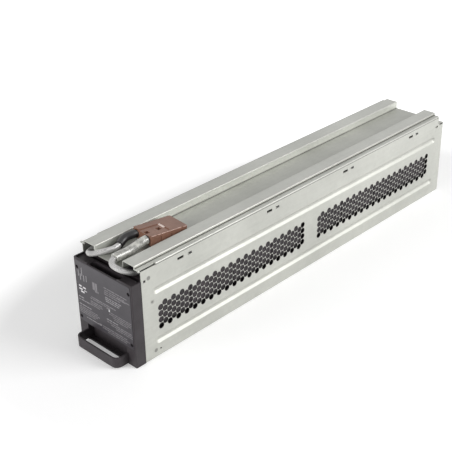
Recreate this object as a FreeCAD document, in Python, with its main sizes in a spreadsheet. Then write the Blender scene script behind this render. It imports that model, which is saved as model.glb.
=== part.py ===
"""UPS battery cartridge: a perforated folded-steel tray of eight sealed batteries under a channel cover.

Frame: millimetres, +Z up, front toward -Y, origin at the bottom centre of the rigid cartridge.
Every piece is drawn with Y = 0 on the front face of the bezel and is then shifted by the same
expression, so that the origin lies midway between the handle and the rear wall.
"""
import FreeCAD, Part
import math
import os
import re
from FreeCAD import Placement, Rotation, Vector
import Sketcher

SIZES = {
    # batteries
    "battery_count": 8, "battery_width": 90.0, "battery_length": 70.0, "case_height": 90.0,
    "lid_height": 11.0, "lid_inset": 0.5, "case_radius": 2.5, "battery_gap": 0.2,
    "vent_width": 58.0, "vent_length": 16.0, "vent_tall": 0.8,
    "terminal_x": 31.0, "terminal_inset": 12.0, "blade_width": 6.35, "blade_thick": 0.8,
    "blade_tall": 7.0, "link_thick": 1.2, "link_width": 7.6, "link_gap": 0.2, "link_lift": 0.6,
    # pads and liner
    "liner_thick": 0.8, "liner_gap": 0.6, "front_pad_thick": 5.0, "rear_pad_thick": 16.8,
    "pad_height": 80.0, "pad_inset": 5.0, "pad_lift": 1.0, "pad_gap": 0.2,
    "foam_width": 44.0, "foam_start": 60.0, "foam_inset": 80.0, "foam_gap": 0.3,
    # folded tray
    "sheet": 1.0, "side_room": 0.95, "head_room": 16.1, "rear_drop": 10.0, "rear_step": 13.0,
    "rear_flange": 13.5, "bend_radius": 1.4, "front_wall_drop": 20.9, "front_gap": 0.1,
    # stiffening grooves pressed into the sides
    "groove_start": 30.0, "groove_inset": 19.0, "groove_width": 9.0, "groove_depth": 2.2,
    "low_groove_centre": 21.5, "high_groove_drop": 31.9, "groove_taper": 55.0,
    # perforation of the sides
    "hole_width": 6.6, "hole_pitch": 6.61, "hole_rise": 8.13, "hole_lift": 16.9,
    "hole_columns": 38, "hole_rows": 4, "group_one_start": 39.6, "group_pitch": 277.8,
    # interlock slots along the top of the sides, and the cover's tabs in them
    "slot_drop": 7.2, "slot_tall": 3.2, "slot_start": 68.0, "slot_long": 9.4, "slot_pitch": 148.3,
    "tab_offset": 16.0, "tab_long": 6.2, "tab_proud": 0.5, "tab_tall": 1.2, "tab_gap": 0.3,
    "slot_count": 4,
    # rear slots, dimples and the small holes in the sides
    "rear_slot_start": 10.0, "rear_slot_long": 8.0, "rear_slot_drop": 1.4, "rear_slot_tall": 2.0,
    "rear_mark_start": 20.0, "rear_mark_long": 6.0, "rear_mark_drop": 2.9, "rear_mark_tall": 2.6,
    "dimple_width": 5.0, "dimple_depth": 0.4, "dimple_y": 24.6, "dimple_drop": 11.9,
    "middle_dimple_y": 28.0, "middle_dimple_z": 75.0, "low_dimple_y": 29.4, "low_dimple_z": 9.6,
    "small_hole": 2.4, "small_hole_y": 36.8, "small_hole_z": 9.0,
    # channel cover with its two hollow rails
    "cover_start": 11.3, "cover_inset": 13.7, "ledge_lift": 2.4, "floor_drop": 6.7,
    "rail_rise": 3.5, "rail_width": 18.8, "lip_width": 6.95, "flange_gap": 0.3,
    "flange_drop": 16.3, "trim_start": 13.0, "trim_end": 36.0, "trim_depth": 2.2,
    "cover_bend": 1.2,
    # bezel with its strap handle
    "bezel_inset": 0.3, "bezel_depth": 13.9, "bezel_drop": 12.1, "bezel_wall": 3.0,
    "bezel_margin": 8.0, "edge_round": 1.0,
    "handle_reach": 18.3, "handle_width": 72.0, "handle_top": 15.0, "handle_bottom": 2.0,
    "handle_wall": 1.9, "handle_radius": 8.0, "handle_root": 2.0, "gap_undercut": 0.9,
    "scoop_depth": 8.0, "scoop_rise": 7.5, "scoop_radius": 7.0,
    "trough_width": 50.0, "trough_depth": 12.0, "trough_drop": 14.8, "trough_wall": 1.4,
    "trough_radius": 4.0, "trough_rim": 1.4, "top_recess": 2.2, "top_side_lip": 1.6,
    "tongue_gap": 0.5, "tongue_wall": 2.0, "tongue_length": 20.0,
    "high_tongue_tall": 8.8, "low_tongue_bottom": 3.0, "low_tongue_tall": 11.0, "notch_gap": 0.5,
    "nub_width": 2.6, "nub_centre": 18.6, "nub_drop": 1.4, "nub_clearance": 0.3, "nub_reach": 0.6,
    "screw_inset": 5.35, "screw_drop": 11.4, "low_screw": 29.2,
    "screw_head": 4.0, "screw_shank": 2.5, "screw_sink": 1.5, "head_tall": 1.6,
    "screw_clearance": 0.15, "screw_length": 16.0, "drive_width": 0.7, "drive_share": 0.35,
    "label_border": 2.55, "label_bottom": 24.0, "label_drop": 2.2, "label_thick": 0.4,
    "label_radius": 2.0, "label_hole_gap": 0.3,
    # leads, boots and return cable
    "lead_diameter": 7.0, "cable_diameter": 6.0, "splice_diameter": 10.0, "splice_length": 16.0,
    "boot_width": 9.0, "boot_tall": 9.0, "boot_lift": 0.6, "boot_round": 1.5,
    "lead_rise": 4.8, "lead_start": 7.0, "lead_approach": 5.0,
    "shrink_wall": 1.25, "shrink_length": 25.0, "shrink_gap": 0.1,
    "sleeve_diameter": 11.0, "sleeve_length": 46.0,
    # two-pole power connector lying in the channel, its front held up by the leads
    "connector_x": 0.3, "connector_y": 59.9, "connector_yaw": -4.85, "connector_tilt": -5.0,
    "connector_lift": 4.8, "connector_width": 33.5, "connector_length": 52.0, "connector_tall": 12.0,
    "cavity_spacing": 20.0, "cavity_diameter": 9.0, "cavity_depth": 16.0,
    "mouth_width": 11.0, "mouth_tall": 8.6, "mouth_depth": 20.0, "recess_depth": 0.9,
    "recess_left": -6.0, "recess_right": 14.0, "recess_length": 29.0,
    "window_size": 5.6, "window_depth": 2.2, "rear_window": 18.0, "front_window": 1.2,
    "window_left": 0.5, "connector_round": 1.2, "side_step": 0.8, "side_step_tall": 2.0,
    "panel_depth": 0.7, "panel_long": 10.0, "panel_pitch": 15.0, "panel_start": 5.0,
    "panel_count": 3, "panel_margin": 3.4,
    "barrel_diameter": 6.4, "barrel_length": 12.0, "tongue_width_flat": 7.6, "tongue_thick": 2.0,
    "blade_reach": 24.0, "blade_drop": 2.0, "blade_room": 0.3, "lead_entry": 2.0,
    "spring_thick": 0.5, "spring_width": 5.0, "spring_length": 8.0,
}

# sizes that follow from the ones above
LINKED = {
    "base": "sheet + liner_thick",
    "lid_top": "base + case_height + lid_height",
    "first_battery": "bezel_depth + front_gap + sheet + front_pad_thick + 2 * pad_gap",
    "last_battery_end": "first_battery + battery_count * (battery_length + battery_gap)",
    "body_width": "battery_width + 2 * (side_room + groove_depth + sheet)",
    "body_length": "last_battery_end + rear_pad_thick + pad_gap + sheet",
    "side_height": "lid_top + head_room",
    "rear_height": "side_height - rear_drop",
    "front_wall_height": "side_height - front_wall_drop",
    "groove_end": "body_length - groove_inset",
    "high_groove_centre": "side_height - high_groove_drop",
    "hole_bottom": "low_groove_centre + hole_lift",
    "group_two_start": "group_one_start + group_pitch",
    "slot_centre": "side_height - slot_drop",
    "cover_end": "body_length - cover_inset",
    "ledge_height": "side_height + ledge_lift",
    "floor_height": "ledge_height - floor_drop",
    "rail_height": "ledge_height + rail_rise",
    "rail_outer": "body_width / 2 - lip_width",
    "rail_inner": "rail_outer - rail_width",
    "flange_bottom": "ledge_height - flange_drop",
    "bezel_width": "body_width - 2 * bezel_inset",
    "bezel_height": "side_height - bezel_drop",
    "scoop_top": "handle_top + scoop_rise",
    "trough_bottom": "bezel_height - trough_drop",
    "high_tongue_bottom": "bezel_height - high_tongue_tall",
    "low_tongue_top": "low_tongue_bottom + low_tongue_tall",
    "nub_height": "bezel_height - nub_drop",
    "screw_x": "bezel_width / 2 - screw_inset",
    "high_screw": "bezel_height - screw_drop",
    "label_width": "bezel_width - 2 * label_border",
    "label_top": "bezel_height - label_drop",
    "foam_end": "body_length - foam_inset",
}

doc = FreeCAD.newDocument("UpsBatteryCartridge")
sheet = doc.addObject("Spreadsheet::Sheet", "Dims")
for row, (alias, value) in enumerate(SIZES.items(), start=1):
    sheet.set("A%d" % row, str(value))
    sheet.setAlias("A%d" % row, alias)
for row, (alias, formula) in enumerate(LINKED.items(), start=len(SIZES) + 1):
    sheet.set("A%d" % row, "=" + formula)
    sheet.setAlias("A%d" % row, alias)
    doc.recompute()

NAMES = sorted(list(SIZES) + list(LINKED), key=len, reverse=True)
ALIASES = re.compile(r"\b(%s)\b" % "|".join(NAMES))
SHIFT = "-(body_length - handle_reach) / 2"
PARTS = []


def bound(text):
    """The same expression with each alias written as a cell of the sheet."""
    return ALIASES.sub(r"Dims.\1", str(text))


def size(text):
    """The present value of an expression of the sheet's aliases."""
    return float(sheet.evalExpression(bound(text)))


# ---------------------------------------------------------------- sketches and features

AXES = {"XY": ("XY_Plane", 1), "XZ": ("XZ_Plane", -1), "YZ": ("YZ_Plane", 1)}


def plane_sketch(body, name, plane, start):
    """A sketch on one of the body's origin planes, moved to a coordinate along its normal."""
    role, sense = AXES[plane]
    sketch = body.newObject("Sketcher::SketchObject", name + "Sketch")
    origin_plane = [item for item in body.Origin.OriginFeatures if item.Role == role][0]
    sketch.AttachmentSupport = [(origin_plane, "")]
    sketch.MapMode = "FlatFace"
    sketch.setExpression("AttachmentOffset.Base.z", bound("%d * (%s)" % (sense, start)))
    return sketch


def fix_point(sketch, index, position, across, up):
    """Dimension a point of the sketch from its origin with two bound constraints."""
    for kind, text in (("DistanceX", across), ("DistanceY", up)):
        number = sketch.addConstraint(Sketcher.Constraint(kind, -1, 1, index, position, size(text)))
        sketch.setExpression("Constraints[%d]" % number, bound(text))


def draw_outline(sketch, corners):
    """A closed outline of straight lines through fully dimensioned corners."""
    first = sketch.GeometryCount
    places = [Vector(size(across), size(up), 0) for across, up in corners]
    count = len(corners)
    for number in range(count):
        line = Part.LineSegment(places[number], places[(number + 1) % count])
        sketch.addGeometry(line, False)
    for number in range(count):
        following = first + (number + 1) % count
        sketch.addConstraint(Sketcher.Constraint("Coincident", first + number, 2, following, 1))
    for number, (across, up) in enumerate(corners):
        fix_point(sketch, first + number, 1, across, up)


def draw_box(sketch, left, right, low, high):
    """A rectangle between bound coordinates."""
    draw_outline(sketch, [(left, low), (right, low), (right, high), (left, high)])


def draw_circle(sketch, across, up, diameter):
    """A circle with a bound centre and diameter."""
    centre = Vector(size(across), size(up), 0)
    index = sketch.addGeometry(Part.Circle(centre, Vector(0, 0, 1), size(diameter) / 2), False)
    number = sketch.addConstraint(Sketcher.Constraint("Diameter", index, size(diameter)))
    sketch.setExpression("Constraints[%d]" % number, bound(diameter))
    fix_point(sketch, index, 3, across, up)


def draw_stadium(sketch, left, right, middle, width):
    """A slot shape with round ends, lying along the sketch's first axis."""
    radius = size(width) / 2
    near = Vector(size(left) + radius, size(middle), 0)
    far = Vector(size(right) - radius, size(middle), 0)
    normal = Vector(0, 0, 1)
    quarter = math.pi / 2
    up = Vector(0, radius, 0)
    round_near = Part.ArcOfCircle(Part.Circle(near, normal, radius), quarter, 3 * quarter)
    round_far = Part.ArcOfCircle(Part.Circle(far, normal, radius), -quarter, quarter)
    a = sketch.addGeometry(round_near, False)
    b = sketch.addGeometry(Part.LineSegment(near - up, far - up), False)
    c = sketch.addGeometry(round_far, False)
    d = sketch.addGeometry(Part.LineSegment(far + up, near + up), False)
    for first, end, second, start in ((a, 2, b, 1), (b, 2, c, 1), (c, 2, d, 1), (d, 2, a, 1)):
        sketch.addConstraint(Sketcher.Constraint("Tangent", first, end, second, start))
    fix_point(sketch, a, 3, "%s + %s / 2" % (left, width), middle)
    fix_point(sketch, c, 3, "%s - %s / 2" % (right, width), middle)
    number = sketch.addConstraint(Sketcher.Constraint("Radius", a, radius))
    sketch.setExpression("Constraints[%d]" % number, bound("%s / 2" % width))


def new_body(label, shifted=True):
    """A named body, shifted with the rest of the cartridge."""
    body = doc.addObject("PartDesign::Body", label)
    body.Label = label
    if shifted:
        body.setExpression("Placement.Base.y", bound(SHIFT))
    PARTS.append(body)
    return body


def pad(body, name, plane, start, length, draw, taper=None):
    """Add material from a coordinate toward the plane's positive axis."""
    sketch = plane_sketch(body, name, plane, start)
    draw(sketch)
    feature = body.newObject("PartDesign::Pad", name)
    feature.Profile = sketch
    feature.Reversed = AXES[plane][1] < 0
    feature.setExpression("Length", bound(length))
    if taper:
        feature.setExpression("TaperAngle", bound(taper))
    return feature


def pocket(body, name, plane, start, length, draw, taper=None):
    """Remove material from a coordinate toward the plane's positive axis."""
    sketch = plane_sketch(body, name, plane, start)
    draw(sketch)
    feature = body.newObject("PartDesign::Pocket", name)
    feature.Profile = sketch
    feature.Reversed = AXES[plane][1] > 0
    feature.setExpression("Length", bound(length))
    if taper:
        feature.setExpression("TaperAngle", bound(taper))
    return feature


def round_edges(body, name, radius, chosen):
    """Fillet the edges of the body's present shape that a test picks."""
    doc.recompute()
    base = body.Tip
    picked = []
    for number, edge in enumerate(base.Shape.Edges, start=1):
        if len(edge.Vertexes) == 2 and chosen(edge):
            picked.append("Edge%d" % number)
    feature = body.newObject("PartDesign::Fillet", name)
    feature.Base = (base, picked)
    feature.setExpression("Radius", bound(radius))
    return feature


def along(edge, axis):
    """True for a straight edge that runs along the named axis."""
    ends = edge.Vertexes[1].Point - edge.Vertexes[0].Point
    across = [abs(getattr(ends, other)) for other in "xyz" if other != axis]
    return abs(getattr(ends, axis)) > 0.2 and max(across) < 1e-4


def at(value, target):
    """True when two lengths are the same to a hundredth."""
    return abs(value - target) < 0.01


def feature_part(label, shape, shifted=True):
    """A part whose shape is made with Part's own functions from the sheet's values."""
    item = doc.addObject("Part::Feature", label)
    item.Label = label
    item.Shape = shape
    if shifted:
        item.Placement = Placement(Vector(0, size(SHIFT), 0), Rotation())
    PARTS.append(item)
    return item


# ---------------------------------------------------------------- tray

def make_tray():
    """The folded tray: floor, two sides, front and rear walls, grooves, slots and perforation."""
    body = new_body("tray_folding")
    PARTS.remove(body)
    half = "body_width / 2"
    inner = "(body_width / 2 - sheet)"
    front = "(bezel_depth + front_gap)"

    def section(sketch):
        draw_outline(sketch, [("-" + half, "0"), (half, "0"), (half, "side_height"),
                              (inner, "side_height"), (inner, "sheet"), ("-" + inner, "sheet"),
                              ("-" + inner, "side_height"), ("-" + half, "side_height")])
    pad(body, "Trough", "XZ", front, "body_length - " + front, section)
    pad(body, "FrontWall", "XZ", front, "sheet",
        lambda s: draw_box(s, "-" + inner, inner, "0", "front_wall_height"))
    notch = "(body_width / 2 - sheet - tongue_gap - tongue_wall - notch_gap)"

    def tongue_notches(sketch):
        for low, high in (("-" + inner, "-" + notch), (notch, inner)):
            draw_box(sketch, low, high, "low_tongue_bottom - notch_gap", "low_tongue_top + notch_gap")
    pocket(body, "TongueNotches", "XZ", front + " - 1", "sheet + 2", tongue_notches)
    pad(body, "RearWall", "XZ", "body_length - sheet", "sheet",
        lambda s: draw_box(s, "-" + inner, inner, "0", "rear_height"))
    pad(body, "RearFlange", "XZ", "body_length - rear_flange", "rear_flange",
        lambda s: draw_box(s, "-" + inner, inner, "rear_height - sheet", "rear_height"))
    pocket(body, "RearStep", "XZ", "body_length - rear_step", "rear_step + 1",
           lambda s: draw_box(s, "-" + half + " - 1", half + " + 1", "rear_height", "side_height + 1"))

    def corner_edges(edge):
        spot = edge.CenterOfMass
        low_bend = along(edge, "y") and at(abs(spot.x), size(half)) and at(spot.z, 0)
        rear_bend = along(edge, "z") and at(abs(spot.x), size(half)) and at(spot.y, size("body_length"))
        rear_top = along(edge, "x") and at(spot.z, size("rear_height")) and at(spot.y, size("body_length"))
        return low_bend or rear_bend or rear_top
    round_edges(body, "Folds", "bend_radius", corner_edges)

    for side, outside in (("Right", 1), ("Left", -1)):
        for level in ("low", "high"):
            press_groove(body, side + level.title(), level + "_groove_centre", outside)

    def interlocks(sketch):
        for number in range(int(size("slot_count"))):
            begin = "slot_start + %d * slot_pitch" % number
            low, high = "slot_centre - slot_tall / 2", "slot_centre + slot_tall / 2"
            draw_box(sketch, begin, begin + " + slot_long", low, high)
            draw_box(sketch, begin + " + tab_offset", begin + " + tab_offset + tab_long", low, high)
    pocket(body, "Interlocks", "YZ", "-" + half + " - 1", "body_width + 2", interlocks)

    def rear_slots(sketch):
        for kind in ("rear_slot", "rear_mark"):
            begin, top = "body_length - %s_start" % kind, "rear_height - %s_drop" % kind
            draw_box(sketch, begin, begin + " + %s_long" % kind,
                     top + " - %s_tall / 2" % kind, top + " + %s_tall / 2" % kind)
    for name, start in (("RearSlotsLeft", "-" + half), ("RearSlotsRight", inner)):
        pocket(body, name, "YZ", start, "sheet", rear_slots)

    def snap_holes(sketch):
        edge = "(nub_width / 2 + nub_clearance)"
        draw_box(sketch, "nub_centre - " + edge, "nub_centre + " + edge,
                 "nub_height - " + edge, "nub_height + " + edge)
        draw_circle(sketch, "small_hole_y", "small_hole_z", "small_hole")
    pocket(body, "SnapHoles", "YZ", "-" + half + " - 1", "body_width + 2", snap_holes)

    def dimples(sketch):
        draw_circle(sketch, "dimple_y", "side_height - dimple_drop", "dimple_width")
        draw_circle(sketch, "middle_dimple_y", "middle_dimple_z", "dimple_width")
        draw_circle(sketch, "low_dimple_y", "low_dimple_z", "dimple_width")
    pocket(body, "DimplesLeft", "YZ", "-" + half, "dimple_depth", dimples)
    pocket(body, "DimplesRight", "YZ", half + " - dimple_depth", "dimple_depth", dimples)

    def screw_holes(sketch):
        for across in ("-screw_x", "screw_x"):
            for height in ("low_screw", "high_screw"):
                draw_circle(sketch, across, height, "screw_shank + 2 * screw_clearance")
    pocket(body, "ScrewHoles", "XZ", front + " - 1", "sheet + 2", screw_holes)

    for name, start in (("One", "group_one_start"), ("Two", "group_two_start")):
        pocket(body, "Window" + name, "YZ", inner + " - groove_depth", "sheet + groove_depth + 1",
               lambda s, a=start: draw_box(s, a + " - hole_width", a + FIELD_LENGTH + " + hole_width",
                                           FIELD_LOW, FIELD_HIGH))
    doc.recompute()
    panels = doc.addObject("Part::Feature", "perforated_fields")
    panels.Shape = Part.Compound([hole_field("group_one_start"), hole_field("group_two_start")])
    panels.Placement = Placement(Vector(0, size(SHIFT), 0), Rotation())
    tray = doc.addObject("Part::MultiFuse", "tray")
    tray.Label = "tray"
    tray.Shapes = [body, panels]
    tray.Refine = False
    PARTS.append(tray)


def press_groove(body, name, centre, outside):
    """One long groove pressed inward: a rib on the inner face, hollowed from the outer face."""
    inner_face = "(body_width / 2 - sheet)"
    outer_face = "body_width / 2"

    def shape(shrink):
        return lambda s: draw_stadium(s, "(groove_start + %s)" % shrink, "(groove_end - %s)" % shrink,
                                      centre, "(groove_width - 2 * %s)" % shrink)
    if outside > 0:
        rib = pad(body, "Rib" + name, "YZ", inner_face, "groove_depth", shape("0"), "-groove_taper")
        rib.Reversed = True
        hollow = pocket(body, "Groove" + name, "YZ", outer_face, "groove_depth", shape("0"), "-groove_taper")
        hollow.Reversed = False
    else:
        pad(body, "Rib" + name, "YZ", "-" + inner_face, "groove_depth", shape("0"), "-groove_taper")
        pocket(body, "Groove" + name, "YZ", "-" + outer_face, "groove_depth", shape("0"), "-groove_taper")


FIELD_LENGTH = " + (hole_columns - 1) * hole_pitch"
FIELD_LOW = "(hole_bottom - hole_width)"
FIELD_HIGH = "(hole_bottom + (hole_rows - 0.5) * hole_rise + hole_width)"


def hole_field(start):
    """One field of staggered columns of holes, as a perforated piece of the right side's sheet."""
    radius = size("hole_width") / 2
    inner_face = size("body_width / 2 - sheet")
    near, far = size(start + " - hole_width"), size(start + FIELD_LENGTH + " + hole_width")
    low, high = size(FIELD_LOW), size(FIELD_HIGH)
    edge = Part.makePolygon([Vector(inner_face, *spot) for spot in
                             ((near, low), (far, low), (far, high), (near, high), (near, low))])
    outlines = [edge]
    for column in range(int(size("hole_columns"))):
        lift = (column % 2) * size("hole_rise") / 2
        for level in range(int(size("hole_rows"))):
            middle = size(start) + column * size("hole_pitch")
            height = size("hole_bottom") + lift + level * size("hole_rise")
            corners = []
            for turn in range(7):
                angle = turn * math.pi / 3
                corners.append(Vector(inner_face, middle + radius * math.sin(angle),
                                      height + radius * math.cos(angle)))
            outlines.append(Part.makePolygon(corners))
    return Part.Face(outlines, "Part::FaceMakerBullseye").extrude(Vector(size("sheet"), 0, 0))


# ---------------------------------------------------------------- cover

def make_cover():
    """One sheet folded into a channel between two hollow rails, with hemmed ledges and side flanges."""
    body = new_body("top_cover")
    flange = "(body_width / 2 - sheet - flange_gap)"
    right = [("rail_inner", "floor_height"), ("rail_inner", "rail_height"),
             ("rail_outer", "rail_height"), ("rail_outer", "ledge_height"),
             ("body_width / 2", "ledge_height"), ("body_width / 2", "ledge_height - 2 * sheet"),
             (flange, "ledge_height - 2 * sheet"), (flange, "flange_bottom"),
             (flange + " - sheet", "flange_bottom"), (flange + " - sheet", "ledge_height - sheet"),
             ("rail_outer - sheet", "ledge_height - sheet"), ("rail_outer - sheet", "rail_height - sheet"),
             ("rail_inner + sheet", "rail_height - sheet"), ("rail_inner + sheet", "floor_height - sheet")]
    left = [("-(%s)" % across, up) for across, up in reversed(right)]
    pad(body, "Fold", "XZ", "cover_start", "cover_end - cover_start",
        lambda s: draw_outline(s, right + left))

    def outer_bends(edge):
        spot = edge.CenterOfMass
        rail = at(spot.z, size("rail_height"))
        lip = at(abs(spot.x), size("body_width / 2")) and at(spot.z, size("ledge_height"))
        return along(edge, "y") and (rail or lip)
    round_edges(body, "Bends", "cover_bend", outer_bends)
    for side, begin, hem in (
            ("Left", "-body_width / 2 - 1", "-body_width / 2 - 1"),
            ("Right", "body_width / 2 - 2 * trim_depth", "body_width / 2 - trim_depth")):
        pocket(body, "Trim" + side, "XY", "ledge_height - 2 * sheet - 1", "2 * sheet + 2",
               lambda s, b=hem: draw_box(s, b, b + " + trim_depth + 1", "trim_start", "trim_end"))

        pocket(body, "FlangeNotch" + side, "XY", "flange_bottom - 1",
               "ledge_height - 2 * sheet - flange_bottom + 1",
               lambda s, b=begin: draw_box(s, b, b + " + 2 * trim_depth + 1",
                                           "cover_start - 1", "trim_end"))

    def openings(sketch):
        for number in range(int(size("slot_count"))):
            begin = "slot_start + %d * slot_pitch" % number
            draw_box(sketch, begin + " - tab_gap", begin + " + slot_long + tab_gap",
                     "slot_centre - slot_tall / 2 - tab_gap", "slot_centre + slot_tall / 2 + tab_gap")
    pocket(body, "OpeningsRight", "YZ", flange + " - sheet", "sheet", openings)
    pocket(body, "OpeningsLeft", "YZ", "-" + flange, "sheet", openings)

    def tabs(sketch):
        for number in range(int(size("slot_count"))):
            begin = "slot_start + %d * slot_pitch + tab_offset + tab_gap" % number
            low = "slot_centre - slot_tall / 2 + tab_gap"
            draw_box(sketch, begin, begin + " + tab_long - 2 * tab_gap", low, low + " + tab_tall")
    pad(body, "TabsRight", "YZ", flange, "tab_proud", tabs)
    pad(body, "TabsLeft", "YZ", "-%s - tab_proud" % flange, "tab_proud", tabs)


# ---------------------------------------------------------------- bezel

def make_bezel():
    """The moulded front: face, strap handle, finger scoop, top trough, hollow back and side tongues."""
    body = new_body("front_bezel")
    half = "bezel_width / 2"
    grip = "handle_width / 2"
    pad(body, "Block", "XZ", "0", "bezel_depth",
        lambda s: draw_box(s, "-" + half, half, "0", "bezel_height"))
    pad(body, "Handle", "XY", "handle_bottom", "handle_top - handle_bottom",
        lambda s: draw_box(s, "-" + grip, grip, "-handle_reach", "handle_root"))
    inner_grip = "(handle_width / 2 - handle_wall)"
    pocket(body, "FingerGap", "XY", "-1", "handle_top + 2",
           lambda s: draw_box(s, "-" + inner_grip, inner_grip, "-handle_reach + handle_wall", "gap_undercut"))
    round_edges(body, "GapCorners", "handle_radius - handle_wall",
                lambda e: along(e, "z") and at(e.CenterOfMass.y, size("-handle_reach + handle_wall"))
                and e.CenterOfMass.z > 1)
    round_edges(body, "HandleCorners", "handle_radius",
                lambda e: along(e, "z") and at(e.CenterOfMass.y, -size("handle_reach")))
    pocket(body, "Scoop", "YZ", "-" + inner_grip, "2 * " + inner_grip,
           lambda s: draw_box(s, "-1", "scoop_depth", "handle_bottom", "scoop_top"))
    round_edges(body, "ScoopRound", "scoop_radius",
                lambda e: along(e, "x") and at(e.CenterOfMass.y, size("scoop_depth"))
                and at(e.CenterOfMass.z, size("scoop_top")))
    pocket(body, "Trough", "XY", "trough_bottom", "bezel_height - trough_bottom + 1",
           lambda s: draw_box(s, "-trough_width / 2", "trough_width / 2", "trough_wall", "trough_depth"))
    round_edges(body, "TroughRound", "trough_radius",
                lambda e: e.CenterOfMass.z < size("bezel_height") - 1
                and e.CenterOfMass.z > size("trough_bottom") - 0.1
                and abs(e.CenterOfMass.x) < size("trough_width / 2") + 0.1
                and (along(e, "z") or (along(e, "x") and at(e.CenterOfMass.y, size("trough_depth")))))
    pocket(body, "TroughRim", "XY", "bezel_height - trough_rim", "trough_rim + 1",
           lambda s: draw_box(s, "-trough_width / 2", "trough_width / 2", "-1", "trough_wall + 1"))
    pocket(body, "TopRecess", "XY", "bezel_height - top_recess", "top_recess + 1",
           lambda s: draw_box(s, "-" + half + " + top_side_lip", half + " - top_side_lip",
                              "trough_wall", "bezel_depth + 1"))
    side = half + " - bezel_margin"
    for name, low, high in (("HollowLeft", "-" + half + " + bezel_margin", "-bezel_wall / 2"),
                            ("HollowRight", "bezel_wall / 2", side)):
        pocket(body, name, "XZ", "bezel_wall", "bezel_depth",
               lambda s, a=low, b=high: draw_box(s, a, b, "scoop_top + bezel_wall",
                                                 "trough_bottom - bezel_wall"))
    for sign, name in ((-1, "Left"), (1, "Right")):
        outer = "(body_width / 2 - sheet - tongue_gap)"
        begin = outer + " - tongue_wall" if sign > 0 else "-" + outer
        for level, low, high in (("High", "high_tongue_bottom", "bezel_height"),
                                 ("Low", "low_tongue_bottom", "low_tongue_top")):
            pad(body, "Tongue" + level + name, "XZ", "bezel_depth", "tongue_length",
                lambda s, a=begin, b=low, c=high: draw_box(s, a, a + " + tongue_wall", b, c))
        nub = outer if sign > 0 else "-%s - tongue_gap - nub_reach" % outer
        pad(body, "Nub" + name, "YZ", nub, "tongue_gap + nub_reach",
            lambda s: draw_box(s, "nub_centre - nub_width / 2", "nub_centre + nub_width / 2",
                               "nub_height - nub_width / 2", "nub_height + nub_width / 2"))

    def heads(sketch):
        for across in ("-screw_x", "screw_x"):
            for height in ("low_screw", "high_screw"):
                draw_circle(sketch, across, height, "screw_head + 2 * screw_clearance")
    pocket(body, "HeadWells", "XZ", "-1", "1 + screw_sink + head_tall", heads)

    def shanks(sketch):
        for across in ("-screw_x", "screw_x"):
            for height in ("low_screw", "high_screw"):
                draw_circle(sketch, across, height, "screw_shank + 2 * screw_clearance")
    pocket(body, "ShankBores", "XZ", "-1", "bezel_depth + 2", shanks)

    def rim(edge):
        spot = edge.CenterOfMass
        side_edge = along(edge, "z") and at(abs(spot.x), size(half)) and at(spot.y, 0)
        top_edge = along(edge, "x") and at(spot.z, size("bezel_height")) and at(spot.y, 0)
        return side_edge or top_edge
    round_edges(body, "RimRound", "edge_round", rim)


def make_label():
    """A thin overlay on the bezel's face, cleared around the four screw wells."""
    body = new_body("front_label")
    pad(body, "Film", "XZ", "-label_thick", "label_thick",
        lambda s: draw_box(s, "-label_width / 2", "label_width / 2", "label_bottom", "label_top"))
    round_edges(body, "FilmCorners", "label_radius",
                lambda e: along(e, "y") and abs(e.CenterOfMass.x) > size("label_width / 2 - 0.1"))

    def clearances(sketch):
        for across in ("-screw_x", "screw_x"):
            for height in ("low_screw", "high_screw"):
                draw_circle(sketch, across, height, "screw_head + 2 * label_hole_gap")
    pocket(body, "Clearances", "XZ", "-label_thick - 1", "label_thick + 2", clearances)


def make_screws():
    """Four countersunk-well screws that hold the bezel to the tray's front wall."""
    shapes = []
    along_y = Vector(0, 1, 0)
    for across in (-size("screw_x"), size("screw_x")):
        for height in (size("low_screw"), size("high_screw")):
            seat = Vector(across, size("screw_sink"), height)
            head = Part.makeCylinder(size("screw_head") / 2, size("head_tall"), seat, along_y)
            reach, wide = size("screw_head * drive_share"), size("drive_width")
            slot = Part.makeBox(2 * reach, wide, wide, seat + Vector(-reach, 0, -wide / 2))
            cross = Part.makeBox(wide, wide, 2 * reach, seat + Vector(-wide / 2, 0, -reach))
            shank = Part.makeCylinder(size("screw_shank") / 2, size("screw_length"), seat, along_y)
            shapes.append(head.fuse(shank).cut(slot).cut(cross).removeSplitter())
    feature_part("bezel_screws", Part.Compound(shapes))


# ---------------------------------------------------------------- batteries

def make_battery(number):
    """A sealed battery: case, inset lid and raised vent strip."""
    body = new_body("battery_%d" % (number + 1))
    begin = "first_battery + %d * (battery_length + battery_gap)" % number
    half = "battery_width / 2"
    pad(body, "Case%d" % number, "XY", "base", "case_height",
        lambda s: draw_box(s, "-" + half, half, begin, begin + " + battery_length"))
    round_edges(body, "CaseRound%d" % number, "case_radius", lambda e: along(e, "z"))
    pad(body, "Lid%d" % number, "XY", "base + case_height", "lid_height",
        lambda s: draw_box(s, "-%s + lid_inset" % half, half + " - lid_inset",
                           begin + " + lid_inset", begin + " + battery_length - lid_inset"))
    middle = begin + " + battery_length / 2"
    pad(body, "Vents%d" % number, "XY", "lid_top", "vent_tall",
        lambda s: draw_box(s, "-vent_width / 2", "vent_width / 2",
                           middle + " - vent_length / 2", middle + " + vent_length / 2"))


def terminal_place(number, side):
    """Centre of a battery's terminal; every second battery is turned end for end."""
    start = size("first_battery") + number * size("battery_length + battery_gap")
    middle = start + size("battery_length / 2")
    toward_front = side > 0 if number % 2 == 0 else side < 0
    reach = size("battery_length / 2 - terminal_inset")
    return Vector(side * size("terminal_x"), middle + (-reach if toward_front else reach),
                  size("lid_top"))


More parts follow.
